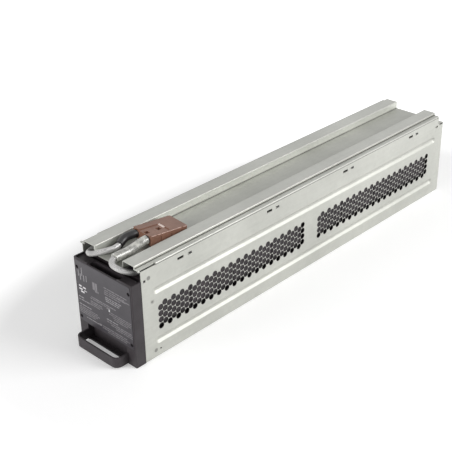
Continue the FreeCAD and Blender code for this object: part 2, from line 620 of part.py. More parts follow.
def make_terminals():
    """Sixteen push-on blades, two standing on each lid."""
    blades = []
    wide, thick, tall = size("blade_width"), size("blade_thick"), size("blade_tall")
    for number in range(int(size("battery_count"))):
        for side in (-1, 1):
            foot = terminal_place(number, side)
            blades.append(Part.makeBox(wide, thick, tall, foot - Vector(wide / 2, thick / 2, 0)))
    feature_part("terminal_blades", Part.Compound(blades))


def make_links():
    """Seven flat straps that join the batteries in series, each with two push-on ends."""
    thick, gap = size("link_thick"), size("link_gap")
    for number in range(int(size("battery_count")) - 1):
        side = -1 if number % 2 == 0 else 1
        near = terminal_place(number, side)
        far = terminal_place(number + 1, side)
        half_blade = size("blade_thick") / 2 + gap
        low, high = near.z + size("link_lift"), near.z + size("blade_tall") + gap
        begin, end = near.y - half_blade - thick, far.y + half_blade + thick
        strap = Part.makeBox(size("link_width"), end - begin, high + thick - low,
                             Vector(near.x - size("link_width") / 2, begin, low))
        span = far.y - near.y - 2 * (half_blade + thick)
        middle = Part.makeBox(size("link_width") + 2, span, high - low,
                              Vector(near.x - size("link_width") / 2 - 1, near.y + half_blade + thick, low))
        strap = strap.cut(middle)
        for place in (near, far):
            strap = strap.cut(Part.makeBox(size("link_width") + 2, 2 * half_blade, high - low,
                                           Vector(place.x - size("link_width") / 2 - 1,
                                                  place.y - half_blade, low)))
        feature_part("series_link_%d" % (number + 1), strap)


# ---------------------------------------------------------------- pads and liners

def make_pads():
    """The insulating floor sheet and the foam that holds the batteries still."""
    inner = "(body_width / 2 - sheet)"
    wall = "bezel_depth + front_gap + sheet"
    padded = "(battery_width / 2 - pad_inset)"
    liner = new_body("base_liner")
    pad(liner, "Liner", "XY", "sheet", "liner_thick",
        lambda s: draw_box(s, "-%s + liner_gap" % inner, inner + " - liner_gap",
                           wall + " + tongue_length", "body_length - sheet - liner_gap"))
    front = new_body("front_foam_pad")
    pad(front, "FrontPad", "XZ", wall + " + pad_gap", "front_pad_thick",
        lambda s: draw_box(s, "-" + padded, padded,
                           "low_tongue_top + pad_lift", "low_tongue_top + pad_lift + pad_height"))
    rear = new_body("rear_foam_pad")
    pad(rear, "RearPad", "XZ", "last_battery_end", "rear_pad_thick",
        lambda s: draw_box(s, "-" + padded, padded, "base", "base + pad_height"))
    top = new_body("top_foam_strip")
    pad(top, "TopFoam", "XY", "lid_top + vent_tall",
        "floor_height - sheet - foam_gap - lid_top - vent_tall",
        lambda s: draw_box(s, "-foam_width / 2", "foam_width / 2", "foam_start", "foam_end"))


# ---------------------------------------------------------------- leads

def route(points):
    """Straight runs joined by tangent arcs, each as large as its two runs allow."""
    edges = []
    radii = []
    here = points[0]
    for before, corner, after in zip(points, points[1:], points[2:]):
        arrive = (corner - before).normalize()
        leave = (after - corner).normalize()
        turn = arrive.getAngle(leave)
        setback = 0.45 * min((corner - before).Length, (after - corner).Length)
        radius = setback / math.tan(turn / 2)
        radii.append(round(radius, 1))
        first, last = corner - arrive * setback, corner + leave * setback
        inward = (leave - arrive).normalize()
        middle = corner + inward * (radius / math.cos(turn / 2) - radius)
        edges.append(Part.LineSegment(here, first).toShape())
        edges.append(Part.Arc(first, middle, last).toShape())
        here = last
    edges.append(Part.LineSegment(here, points[-1]).toShape())
    return Part.Wire(edges), radii


def tube(points, diameter):
    """A round solid along a route."""
    path, radii = route(points)
    start = (points[1] - points[0]).normalize()
    ring = Part.Wire(Part.makeCircle(diameter / 2, points[0], start))
    solid = path.makePipeShell([ring], True, False)
    expected = math.pi * diameter ** 2 / 4 * path.Length
    print("tube: length %.1f, volume ratio %.4f, radii %s" % (path.Length, solid.Volume / expected, radii))
    return solid


def connector_turn():
    """The connector's turn in the channel: a little to the right, and down towards its rear."""
    return Rotation(size("connector_yaw"), 0, size("connector_tilt"))


def connector_point(across, along_axis, up):
    """A point given in the connector's own frame, in the cartridge's unshifted frame."""
    foot = Vector(size("connector_x"), size("connector_y"), size("floor_height + connector_lift"))
    return foot + connector_turn().multVec(Vector(across, along_axis, up))


def sleeve_end(points, bore, outer, length, left, right):
    """The last stretch of a sleeve round a lead, up to the connector's front, from left to right of it."""
    long, gap, wide = size(length), size("shrink_gap"), right - left
    sleeve = tube(points, outer).cut(tube(points, bore))
    region = Part.makeBox(wide, long, 2 * wide, Vector(left, -long - gap, -wide))
    region.Placement = Placement(connector_point(0, 0, 0), connector_turn())
    return sleeve.common(region)


def make_leads():
    """Two sleeved leads from under the rails to the connector, and the return cable in the left rail."""
    spacing, entry, middle = size("cavity_spacing"), size("lead_entry"), size("connector_tall / 2")
    approach = -size("lead_approach")
    right_blade = terminal_place(0, 1)
    boot_face = size("boot_width / 2")
    diameter = size("lead_diameter")

    positive = [right_blade + Vector(0, -boot_face, size("lead_rise")),
                right_blade + Vector(0, -boot_face - size("lead_start"), size("lead_rise")),
                Vector(31.6, 14, 112), Vector(27.5, 8, 114.6), Vector(21, 5.6, 116.2),
                Vector(14.5, 4.6, 117.8), Vector(9.4, 7.6, 119.8), Vector(7.4, 14, 120.6),
                Vector(7.6, 23, 120.6), Vector(7.9, 33, 120.7), Vector(8.8, 43, 122.6),
                connector_point(spacing / 2, approach, middle),
                connector_point(spacing / 2, entry, middle)]
    feature_part("positive_lead", tube(positive, diameter))

    splice_front = Vector(-33, 30, 116.2)
    negative = [splice_front, Vector(-34.2, 20, 114.8), Vector(-34.6, 11.5, 113.2), Vector(-29.8, 7.6, 113.8),
                Vector(-22, 10, 116.2), Vector(-16, 16.8, 118.2), Vector(-11.6, 25, 118.8),
                Vector(-10.4, 33, 119.4), Vector(-13.2, 41.5, 121.2), Vector(-14, 49.5, 124.2),
                connector_point(-spacing / 2, approach, middle),
                connector_point(-spacing / 2, entry, middle)]
    feature_part("negative_lead", tube(negative, diameter))

    bore = diameter + 2 * size("shrink_gap")
    over = bore + 2 * size("shrink_wall")
    shrink = sleeve_end(negative, bore, over, "shrink_length", -2 * spacing, 0)
    feature_part("negative_heat_shrink", shrink)
    over = size("sleeve_diameter")
    loose = sleeve_end(positive, bore, over, "sleeve_length", -spacing / 2, spacing)
    feature_part("positive_sleeve", loose)

    splice_axis = (splice_front - negative[1]).normalize()
    splice = Part.makeCylinder(size("splice_diameter") / 2, size("splice_length"), splice_front, splice_axis)
    feature_part("return_splice", splice)

    last = terminal_place(int(size("battery_count")) - 1, 1)
    duct = size("floor_height - sheet") - size("cable_diameter") / 2 - 1
    back = [splice_front + splice_axis * (size("splice_length") + reach) for reach in (0, 16)]
    back += [Vector(-33.4, 84, 118.8), Vector(-32.8, 110, 118.6)]
    for step in range(8):
        back.append(Vector(-33 - 0.6 * (step % 2), 150 + 48 * step, 118.6))
    back += [Vector(-32.6, 524, 117), Vector(-29, 546, duct), Vector(-16, last.y - 2, duct),
             Vector(8, last.y, last.z + size("lead_rise")),
             Vector(last.x - boot_face, last.y, last.z + size("lead_rise"))]
    feature_part("return_cable", tube(back, size("cable_diameter")))

    make_boot("positive_boot", right_blade)
    make_boot("return_boot", last)


def make_boot(name, foot):
    """An insulating boot over a terminal blade, with the blade's slot left open."""
    wide, tall, lift = size("boot_width"), size("boot_tall"), size("boot_lift")
    boot = Part.makeBox(wide, wide, tall - lift, foot + Vector(-wide / 2, -wide / 2, lift))
    gap = size("link_gap")
    slot = Part.makeBox(size("blade_width") + 2 * gap, size("blade_thick") + 2 * gap,
                        size("blade_tall") + gap,
                        foot - Vector(size("blade_width / 2") + gap, size("blade_thick / 2") + gap, 0))
    rounded = boot.makeFillet(size("boot_round"), [e for e in boot.Edges if along(e, "z")])
    feature_part(name, rounded.cut(slot))


# ---------------------------------------------------------------- connector

def place_connector(item):
    """Bind a connector piece's placement to the connector's seat in the channel."""
    seat = "create(<<vector>>; connector_x; connector_y + %s; floor_height + connector_lift)" % SHIFT
    turn = "create(<<rotation>>; connector_yaw; 0; connector_tilt)"
    item.setExpression("Placement", bound("create(<<placement>>; %s; %s)" % (seat, turn)))


def both_cavities(sketch, draw):
    """The same outline about each of the two cavities' axes."""
    for across in ("-cavity_spacing / 2", "cavity_spacing / 2"):
        draw(sketch, across)


def make_connector():
    """The two-pole housing: round cable cavities in front, blade mouths behind, recessed top."""
    body = new_body("connector_housing", shifted=False)
    half = "connector_width / 2"
    centre = "connector_tall / 2"
    pad(body, "Shell", "XY", "0", "connector_tall",
        lambda s: draw_box(s, "-" + half, half, "0", "connector_length"))
    round_edges(body, "ShellRound", "connector_round", lambda e: along(e, "z"))
    for name, start in (("StepLeft", "-" + half + " - 1"), ("StepRight", half + " - side_step")):
        pocket(body, name, "YZ", start, "side_step + 1",
               lambda s: draw_box(s, "-1", "connector_length + 1",
                                  "connector_tall - side_step_tall", "connector_tall + 1"))
    pocket(body, "TopRecess", "XY", "connector_tall - recess_depth", "recess_depth + 1",
           lambda s: draw_box(s, "recess_left", "recess_right", "-1", "recess_length"))

    def windows(sketch):
        for begin in ("front_window", "rear_window"):
            draw_box(sketch, "window_left", "window_left + window_size",
                     begin, begin + " + window_size")
    pocket(body, "Windows", "XY", "connector_tall - recess_depth - window_depth", "window_depth + 1",
           windows)

    def cavity(sketch, across):
        draw_circle(sketch, across, centre, "cavity_diameter")
    pocket(body, "Cavities", "XZ", "-1", "cavity_depth + 1", lambda s: both_cavities(s, cavity))

    def passage(sketch, across):
        wide, tall = "(tongue_width_flat / 2 + blade_room)", "(tongue_thick / 2 + blade_room)"
        draw_box(sketch, across + " - " + wide, across + " + " + wide,
                 centre + " - blade_drop - " + tall, centre + " - blade_drop + " + tall)
    pocket(body, "Passages", "XZ", "lead_entry + barrel_length - blade_room", "connector_length",
           lambda s: both_cavities(s, passage))

    def mouth(sketch, across):
        draw_box(sketch, across + " - mouth_width / 2", across + " + mouth_width / 2",
                 centre + " - mouth_tall / 2", centre + " + mouth_tall / 2")
    pocket(body, "Mouths", "XZ", "connector_length - mouth_depth", "mouth_depth + 1",
           lambda s: both_cavities(s, mouth))

    def panels(sketch):
        for number in range(int(size("panel_count"))):
            begin = "panel_start + %d * panel_pitch" % number
            draw_box(sketch, begin, begin + " + panel_long",
                     "panel_margin", "connector_tall - panel_margin")
    pocket(body, "PanelsRight", "YZ", half + " - panel_depth", "panel_depth + 1", panels)
    pocket(body, "PanelsLeft", "YZ", "-" + half + " - 1", "panel_depth + 1", panels)
    place_connector(body)

    for name, sign in (("contact_negative", -1), ("contact_positive", 1)):
        make_contact(name, sign)
    springs = []
    for sign in (-1, 1):
        left = sign * size("cavity_spacing / 2") - size("spring_width / 2")
        leaf = Part.makeBox(size("spring_width"), size("spring_length"), size("spring_thick"),
                            Vector(left, size("connector_length - mouth_depth"),
                                   size(centre + " - mouth_tall / 2")))
        springs.append(leaf)
    item = feature_part("connector_springs", Part.Compound(springs), shifted=False)
    place_connector(item)


def make_contact(name, sign):
    """A crimp barrel on the lead's end and the flat blade that reaches into the mouth."""
    body = new_body(name, shifted=False)
    middle = "%d * cavity_spacing / 2" % sign
    drop = "connector_tall / 2 - blade_drop"
    pad(body, "Barrel" + name, "XZ", "lead_entry", "barrel_length",
        lambda s: draw_circle(s, middle, "connector_tall / 2", "barrel_diameter"))
    pad(body, "Blade" + name, "XZ", "lead_entry + barrel_length", "blade_reach",
        lambda s: draw_box(s, middle + " - tongue_width_flat / 2", middle + " + tongue_width_flat / 2",
                           drop + " - tongue_thick / 2", drop + " + tongue_thick / 2"))
    place_connector(body)


# ---------------------------------------------------------------- build and check

make_tray()
make_cover()
make_bezel()
make_label()
make_screws()
for index in range(int(size("battery_count"))):
    make_battery(index)
make_terminals()
make_links()
make_pads()
make_leads()
make_connector()
doc.recompute()

for item in doc.Objects:
    if "Invalid" in item.State or "Error" in item.State:
        raise RuntimeError("%s failed to compute: %s" % (item.Label, item.State))
os.makedirs("parts", exist_ok=True)
for item in PARTS:
    if item.Shape.isNull() or not item.Shape.isValid():
        raise RuntimeError("%s has no valid shape" % item.Label)
for item in PARTS:
    item.Shape.exportStep(os.path.join("parts", item.Label + ".step"))
    box = item.Shape.BoundBox
    print("%-22s solids %2d  x %7.1f %7.1f  y %7.1f %7.1f  z %6.1f %6.1f" % (
        item.Label, len(item.Shape.Solids), box.XMin, box.XMax, box.YMin, box.YMax, box.ZMin, box.ZMax))
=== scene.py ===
import math
import random

import bmesh
import bpy
from mathutils import Matrix, Vector


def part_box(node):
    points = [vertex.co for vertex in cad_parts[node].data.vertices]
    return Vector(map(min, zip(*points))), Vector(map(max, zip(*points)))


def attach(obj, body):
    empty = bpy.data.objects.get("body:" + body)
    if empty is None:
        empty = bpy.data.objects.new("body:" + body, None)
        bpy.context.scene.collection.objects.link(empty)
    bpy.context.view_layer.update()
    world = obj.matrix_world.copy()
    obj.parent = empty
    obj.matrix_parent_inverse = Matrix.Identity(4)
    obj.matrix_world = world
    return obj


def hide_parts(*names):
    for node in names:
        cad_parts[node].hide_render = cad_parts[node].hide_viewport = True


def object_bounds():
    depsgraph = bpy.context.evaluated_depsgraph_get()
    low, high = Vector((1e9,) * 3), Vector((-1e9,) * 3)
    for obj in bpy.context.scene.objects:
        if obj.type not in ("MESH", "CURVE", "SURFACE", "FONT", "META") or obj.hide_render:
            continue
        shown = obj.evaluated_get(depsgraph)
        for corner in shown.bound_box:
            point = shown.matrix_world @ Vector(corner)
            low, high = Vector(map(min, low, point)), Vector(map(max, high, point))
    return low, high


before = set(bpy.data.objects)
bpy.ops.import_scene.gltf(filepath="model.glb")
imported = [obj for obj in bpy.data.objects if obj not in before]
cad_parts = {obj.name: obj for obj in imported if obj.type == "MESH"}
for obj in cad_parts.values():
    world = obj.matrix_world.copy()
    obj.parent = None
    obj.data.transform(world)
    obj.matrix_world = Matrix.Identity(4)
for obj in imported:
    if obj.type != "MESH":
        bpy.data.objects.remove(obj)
cad_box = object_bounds()
random.seed(7)

MM = 0.001
ROW_SHIFT = -0.29085                        # the bezel's face, in the row frame, in metres


def place(x, y, z):
    """A point in millimetres, y measured back from the bezel's face, as a point of the row frame."""
    return Vector((x * MM, y * MM + ROW_SHIFT, z * MM))


# ---------------------------------------------------------------- camera

CAMERA_SPOT = Vector((0.7289, -0.84285, 0.6561))
CAMERA_RIGHT = Vector((0.7224, 0.6913, -0.0158))
CAMERA_FORWARD = Vector((-0.6120, 0.6280, -0.4810))
LENS, SENSOR_WIDTH = 77.24, 36.0


def add_camera():
    """The camera at the photograph's viewing angle."""
    back = -CAMERA_FORWARD.normalized()
    right = (CAMERA_RIGHT - CAMERA_RIGHT.dot(back) * back).normalized()
    turn = Matrix((right, back.cross(right), back)).transposed()
    data = bpy.data.cameras.new("camera")
    data.lens = LENS
    data.sensor_width = SENSOR_WIDTH
    camera = bpy.data.objects.new("camera", data)
    camera.matrix_world = Matrix.Translation(CAMERA_SPOT) @ turn.to_4x4()
    bpy.context.collection.objects.link(camera)
    bpy.context.scene.camera = camera


add_camera()


# ---------------------------------------------------------------- materials

def grey(value):
    return (value, value, value)


class Shader:
    """A principled material with a few procedural layers."""

    EDGE, FOOT_FADE = 0.0005, 0.0008        # how softly a band and a height begin, in metres

    def __init__(self, name, colour, roughness, metallic=0.0, specular=0.5, coat=0.0):
        self.material = bpy.data.materials.new(name)
        self.material.use_nodes = True
        self.tree = self.material.node_tree
        self.shader = self.tree.nodes["Principled BSDF"]
        self.shader.inputs["Base Color"].default_value = (*colour, 1)
        self.shader.inputs["Roughness"].default_value = roughness
        self.shader.inputs["Metallic"].default_value = metallic
        self.shader.inputs["Specular IOR Level"].default_value = specular
        self.shader.inputs["Coat Weight"].default_value = coat
        self.coordinates = self.tree.nodes.new("ShaderNodeTexCoord").outputs["Object"]

    def link(self, start, end):
        self.tree.links.new(start, end)

    def stretched(self, scale):
        mapping = self.tree.nodes.new("ShaderNodeMapping")
        mapping.inputs["Scale"].default_value = scale
        self.link(self.coordinates, mapping.inputs["Vector"])
        return mapping.outputs["Vector"]

    def noise(self, scale, detail=3.0, roughness=0.5, vector=None):
        node = self.tree.nodes.new("ShaderNodeTexNoise")
        node.inputs["Scale"].default_value = scale
        node.inputs["Detail"].default_value = detail
        node.inputs["Roughness"].default_value = roughness
        self.link(vector or self.coordinates, node.inputs["Vector"])
        return node.outputs["Fac"]

    def cells(self, scale):
        node = self.tree.nodes.new("ShaderNodeTexVoronoi")
        node.inputs["Scale"].default_value = scale
        self.link(self.coordinates, node.inputs["Vector"])
        shade = self.tree.nodes.new("ShaderNodeRGBToBW")
        self.link(node.outputs["Color"], shade.inputs["Color"])
        return shade.outputs["Val"]

    def ramp(self, value, stops):
        node = self.tree.nodes.new("ShaderNodeValToRGB")
        first, last = node.color_ramp.elements
        first.position, first.color = stops[0][0], (*stops[0][1], 1)
        last.position, last.color = stops[-1][0], (*stops[-1][1], 1)
        for position, colour in stops[1:-1]:
            node.color_ramp.elements.new(position).color = (*colour, 1)
        self.link(value, node.inputs["Fac"])
        return node.outputs["Color"]

    def mix(self, factor, first, second, blend="MIX"):
        node = self.tree.nodes.new("ShaderNodeMix")
        node.data_type = "RGBA"
        node.blend_type = blend
        for socket, value in (("Factor_Float", factor), ("A_Color", first), ("B_Color", second)):
            entry = [item for item in node.inputs if item.identifier == socket][0]
            if isinstance(value, bpy.types.NodeSocket):
                self.link(value, entry)
            else:
                entry.default_value = value if socket == "Factor_Float" else (*value, 1)
        return [item for item in node.outputs if item.identifier == "Result_Color"][0]

    def span(self, value, low, high):
        node = self.tree.nodes.new("ShaderNodeMapRange")
        node.inputs["To Min"].default_value = low
        node.inputs["To Max"].default_value = high
        self.link(value, node.inputs["Value"])
        return node.outputs["Result"]

    def rise(self, axis, low, high):
        """Rises from 0 to 1 between two places on one axis, in metres."""
        axes = self.tree.nodes.new("ShaderNodeSeparateXYZ")
        self.link(self.coordinates, axes.inputs["Vector"])
        node = self.tree.nodes.new("ShaderNodeMapRange")
        node.inputs["From Min"].default_value = low
        node.inputs["From Max"].default_value = high
        self.link(axes.outputs[axis], node.inputs["Value"])
        return node.outputs["Result"]

    def height(self, foot):
        """Rises from 0 to 1 just above the height foot, in metres."""
        return self.rise("Z", foot, foot + self.FOOT_FADE)

    def band(self, axis, low, high):
        """White between two places on one axis and black outside them, in metres."""
        soft = self.EDGE / (high - low + 2 * self.EDGE)
        return self.ramp(self.rise(axis, low - self.EDGE, high + self.EDGE),
                         [(0.0, grey(0)), (soft, grey(1)), (1 - soft, grey(1)), (1.0, grey(0))])

    def colour(self, output):
        self.link(output, self.shader.inputs["Base Color"])

    def roughness(self, output):
        self.link(output, self.shader.inputs["Roughness"])

    def bump(self, value, strength, distance):
        node = self.tree.nodes.new("ShaderNodeBump")
        node.inputs["Strength"].default_value = strength
        node.inputs["Distance"].default_value = distance
        self.link(value, node.inputs["Height"])
        self.link(node.outputs["Normal"], self.shader.inputs["Normal"])


WALL_HALF, WALL_HEAD = 0.0242, 0.1236       # half the channel's width, and where its walls' folds start
WALL_PAINTED_LIGHT = (0.16, 0.165, 0.148)


def galvanised(name, dull, bright, low_rough, high_rough, metallic, foot=None):
    """Zinc-coated sheet: a soft cloudy grey with faint crystals and fine drawn lines along the sheet.

    foot is for the cover: below this height, in metres, it is darker,
    and above it the channel's walls are painted paler, as painted light."""
    steel = Shader(name, bright, low_rough, metallic)
    base = steel.ramp(steel.noise(9, 4), [(0.3, dull), (0.7, bright)])
    crystal = steel.ramp(steel.cells(210), [(0.0, grey(0.86)), (1.0, grey(1.0))])
    base = steel.mix(0.4, base, crystal, "MULTIPLY")
    if foot:
        lower_darkening = steel.ramp(steel.height(foot), [(0.0, (0.84, 0.84, 0.83)), (1.0, grey(1.0))])
        base = steel.mix(1.0, base, lower_darkening, "MULTIPLY")
        # painted light: the channel's inner walls are painted paler, as if lit more strongly
        across = steel.band("X", -WALL_HALF, WALL_HALF)
        upward = steel.band("Z", foot + steel.FOOT_FADE, WALL_HEAD)
        base = steel.mix(steel.mix(1.0, across, upward, "MULTIPLY"), base, WALL_PAINTED_LIGHT, "ADD")
    drawn = steel.noise(40, 2, 0.6, steel.stretched((9, 0.35, 9)))
    streak = steel.ramp(drawn, [(0.3, grey(0.94)), (0.7, grey(1.0))])
    steel.colour(steel.mix(0.7, base, streak, "MULTIPLY"))
    steel.roughness(steel.span(steel.noise(160, 2), low_rough, high_rough))
    steel.bump(steel.noise(420, 2), 0.06, 0.0002)
    return steel.material


def moulded(name, colour, pale, roughness, grain=1500, strength=0.12, specular=0.5):
    """Injection-moulded plastic with a fine spark grain and faint handling marks."""
    plastic = Shader(name, colour, roughness, specular=specular)
    plastic.colour(plastic.ramp(plastic.noise(45, 4), [(0.35, colour), (0.75, pale)]))
    plastic.roughness(plastic.span(plastic.noise(25, 3), roughness - 0.06, roughness + 0.08))
    plastic.bump(plastic.noise(grain, 2), strength, 0.0002)
    return plastic.material


CHANNEL_FOOT = 0.1158                       # just above the channel's floor, in metres
SIDE_STEEL = galvanised("galvanised_side", (0.46, 0.465, 0.428), (0.56, 0.565, 0.522), 0.43, 0.55, 0.35)
COVER_STEEL = galvanised("galvanised_cover", (0.42, 0.425, 0.392), (0.52, 0.525, 0.488),
                         0.3, 0.42, 0.35, CHANNEL_FOOT)
# painted highlight along the cover's long folds
FOLD_HIGHLIGHT = galvanised("painted_fold_highlights", (0.45, 0.45, 0.42), (0.55, 0.55, 0.515), 0.32, 0.4, 0.3)
# painted shade on the side's dimples
DIMPLE_SHADE = galvanised("painted_dimple_shade", (0.2, 0.2, 0.185), (0.3, 0.3, 0.28), 0.4, 0.5, 0.4)
WEB = galvanised("webs_between_holes", (0.42, 0.42, 0.39), (0.52, 0.52, 0.485), 0.43, 0.55, 0.35)
# painted shade: the holes' lips and walls nearly black, as if in shadow
HOLE_SHADE = galvanised("painted_hole_shade", (0.035, 0.031, 0.031), (0.06, 0.055, 0.055), 0.5, 0.65, 0.2)
BEZEL = moulded("bezel_moulding", (0.037, 0.032, 0.035), (0.05, 0.0435, 0.048), 0.42, specular=0.25)
LABEL = moulded("label_film", (0.04, 0.036, 0.042), (0.054, 0.049, 0.056), 0.36, 600, 0.04)
PRINT = moulded("label_print", (0.17, 0.16, 0.17), (0.23, 0.22, 0.23), 0.45, 600, 0.04)
PRINT_CLEAR = moulded("label_print_clear", (0.27, 0.26, 0.27), (0.34, 0.33, 0.34), 0.45, 600, 0.04)
PRINT_BRIGHT = moulded("label_print_bright", (0.6, 0.59, 0.6), (0.72, 0.71, 0.72), 0.45, 600, 0.04)
# also the dark plate of painted shade in each tab's gap
SCREW_AND_GAP_SHADE = moulded("black_screws_and_painted_gap_shade", (0.016, 0.015, 0.016), (0.03, 0.028, 0.03), 0.35)
# painted shade: dark lines laid over the seams and along the feet of the rails
SEAM_SHADE = moulded("painted_seam_shade", (0.028, 0.025, 0.022), (0.07, 0.064, 0.056), 0.8, 700, 0.4)
CASE_DARKER_BELOW = 0.0395                          # below this height the battery cases are darker, in metres


def case_moulding():
    """Dark battery cases, darker still below a given height."""
    case = Shader("battery_cases", (0.1, 0.08, 0.09), 0.45)
    upper_tone = case.ramp(case.noise(30, 3),
                      [(0.35, (0.033, 0.027, 0.031)), (0.75, (0.06, 0.049, 0.055))])
    case.colour(case.mix(case.height(CASE_DARKER_BELOW), (0.012, 0.01, 0.011), upper_tone))
    case.bump(case.noise(800, 2), 0.2, 0.0002)
    return case.material


CASE = case_moulding()
STRAP = moulded("insulated_straps", (0.02, 0.02, 0.022), (0.03, 0.03, 0.032), 0.4)
LINER = moulded("liner_film", (0.5, 0.5, 0.46), (0.56, 0.56, 0.52), 0.55)
FOAM = moulded("closed_cell_foam", (0.02, 0.02, 0.02), (0.035, 0.035, 0.035), 0.9, 900, 0.8)
BOOT = moulded("rubber_boots", (0.02, 0.02, 0.02), (0.03, 0.03, 0.03), 0.6)
SHRINK = moulded("heat_shrink", (0.012, 0.011, 0.012), (0.022, 0.02, 0.022), 0.38, 300, 0.15)
CABLE = moulded("cable_insulation", (0.02, 0.02, 0.022), (0.03, 0.03, 0.032), 0.42)
HOUSING = moulded("connector_nylon", (0.2, 0.102, 0.07), (0.26, 0.137, 0.096), 0.24, 900, 0.06, 0.25)
# painted highlight along the connector housing's top edges
HOUSING_EDGE_HIGHLIGHT = moulded("painted_nylon_edge_highlights", (0.42, 0.25, 0.2), (0.6, 0.4, 0.34), 0.2, 900, 0.06)
# painted highlight on the latch ramp
LATCH_HIGHLIGHT = moulded("latch_ramp_painted_highlight", (0.66, 0.52, 0.47), (0.8, 0.68, 0.62), 0.2, 900, 0.06)


def metal(name, colour, roughness):
    shader = Shader(name, colour, roughness, 1.0)
    pale = tuple(min(1, 1.12 * value) for value in colour)
    shader.colour(shader.ramp(shader.noise(120, 3), [(0.3, colour), (0.7, pale)]))
    shader.roughness(shader.span(shader.noise(300, 2), roughness - 0.05, roughness + 0.08))
    return shader.material


TIN = metal("tinned_brass", (0.72, 0.69, 0.6), 0.32)
SILVER = metal("silvered_copper", (0.82, 0.78, 0.7), 0.28)
SPRING = metal("spring_steel", (0.55, 0.55, 0.55), 0.35)


THREAD_TURN, THREAD_SCALE = 0.9, 420


def sleeving():
    """A woven silvery sleeve: crossed fine threads, paler on their crowns, with a soft sheen."""
    sleeve = Shader("silvery_sleeve", (0.45, 0.43, 0.43), 0.3, 0.2, 0.6, 0.9)
    sleeve.shader.inputs["Coat Roughness"].default_value = 0.1
    waves = []
    for turn in (THREAD_TURN, -THREAD_TURN):
        mapping = sleeve.tree.nodes.new("ShaderNodeMapping")
        mapping.inputs["Rotation"].default_value = (turn, turn / 2, turn)
        sleeve.link(sleeve.coordinates, mapping.inputs["Vector"])
        node = sleeve.tree.nodes.new("ShaderNodeTexWave")
        node.inputs["Scale"].default_value = THREAD_SCALE
        node.inputs["Distortion"].default_value = 1.5
        sleeve.link(mapping.outputs["Vector"], node.inputs["Vector"])
        waves.append(node.outputs["Color"])
    threads = sleeve.mix(0.5, waves[0], waves[1])
    base = sleeve.ramp(threads, [(0.2, (0.33, 0.325, 0.32)), (0.6, (0.52, 0.515, 0.51)),
                                 (0.9, (0.72, 0.715, 0.7))])
    patches = sleeve.ramp(sleeve.noise(110, 3), [(0.35, (0.72, 0.715, 0.71)), (0.65, grey(1.0))])
    sleeve.colour(sleeve.mix(0.85, base, patches, "MULTIPLY"))
    sleeve.bump(threads, 0.35, 0.0002)
    return sleeve.material


SLEEVE = sleeving()


def loose_sleeving():
    """A loose milky sleeve, mottled where it touches the lead inside it."""
    sleeve = Shader("milky_loose_sleeve", (0.5, 0.5, 0.46), 0.26, 0.0, 0.6, 0.8)
    sleeve.shader.inputs["Coat Roughness"].default_value = 0.12
    sleeve.colour(sleeve.ramp(sleeve.noise(170, 4, 0.6), [(0.34, (0.17, 0.167, 0.155)),
                                                          (0.5, (0.36, 0.36, 0.33)),
                                                          (0.68, (0.58, 0.58, 0.53))]))
    sleeve.bump(sleeve.noise(230, 3), 0.5, 0.0006)
    return sleeve.material


LOOSE = loose_sleeving()


# ---------------------------------------------------------------- pieces of mesh

def mesh_piece(name, built, slot, *materials):
    """A named piece of the scene from a bmesh, which it frees."""
    mesh = bpy.data.meshes.new(name)
    built.to_mesh(mesh)
    built.free()
    piece = bpy.data.objects.new(name, mesh)
    bpy.context.collection.objects.link(piece)
    for material in materials:
        mesh.materials.append(material)
    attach(piece, "root")
    return piece


def panel(built, points, facing):
    """A face through new vertices, in their order if that faces outward and turned over otherwise."""
    corners = [built.verts.new(point) for point in points]
    return built.faces.new(corners if facing else corners[::-1])


def strip(built, low, high, facing):
    """Faces between two lines of vertices, turned over unless their order faces outward."""
    faces = []
    for step in range(len(low) - 1):
        corners = [low[step], low[step + 1], high[step + 1], high[step]]
        faces.append(built.faces.new(corners if facing else corners[::-1]))
    return faces


# ---------------------------------------------------------------- leads and cable

CORD_ROUND, CORD_FINE, CORD_ORDER = 6, 14, 3   # steps round and along a cord, and its spline's order


def cord_curve(name, points, diameter, material):
    """A round cord along one smooth NURBS line."""
    data = bpy.data.curves.new(name, "CURVE")
    data.dimensions = "3D"
    data.bevel_depth = diameter / 2
    data.bevel_resolution, data.resolution_u = CORD_ROUND, CORD_FINE
    data.use_fill_caps = True
    spline = data.splines.new("NURBS")
    spline.points.add(len(points) - 1)
    for point, spot in zip(spline.points, points):
        point.co = (*spot, 1)
    spline.order_u = CORD_ORDER
    spline.use_endpoint_u = True
    cord = bpy.data.objects.new(name, data)
    bpy.context.collection.objects.link(cord)
    data.materials.append(material)
    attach(cord, "root")
    return cord


